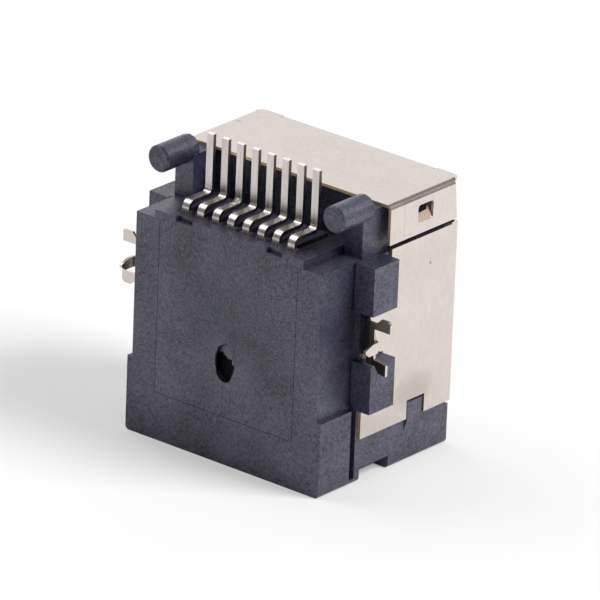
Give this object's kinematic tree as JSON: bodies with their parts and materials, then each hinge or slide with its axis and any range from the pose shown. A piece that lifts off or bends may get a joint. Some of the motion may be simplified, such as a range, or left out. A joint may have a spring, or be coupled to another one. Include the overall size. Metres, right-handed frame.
{
  "type": "rj45 board jack",
  "caption": "Shielded modular jack for a circuit board, standing on its plug mouth, with spring contacts, locating posts and solder tabs.",
  "frame": {"origin": "centre of the bounding box's base, on the plane of the plug mouth's rim", "axes": "-Y out of the side that goes to the circuit board, along the locating posts; +Z from the plug mouth to the contact tails; +X to the right seen from the board side"},
  "size_m": [0.0226, 0.0132, 0.0209],
  "materials": {
    "housing_plastic": "fine moulded grain, satin black",
    "insert_plastic": "smooth moulded black",
    "contact_metal": "bright plated copper alloy with bare sheared edges",
    "shield_metal": "satin tin or nickel plate on folded sheet"
  },
  "bodies": {
    "root": {"housing": "housing_plastic", "contact_insert": "insert_plastic", "contact_1": "contact_metal", "contact_2": "contact_metal", "contact_3": "contact_metal", "contact_4": "contact_metal", "contact_5": "contact_metal", "contact_6": "contact_metal", "contact_7": "contact_metal", "contact_8": "contact_metal", "shield": "shield_metal"}
  },
  "joints": []
}
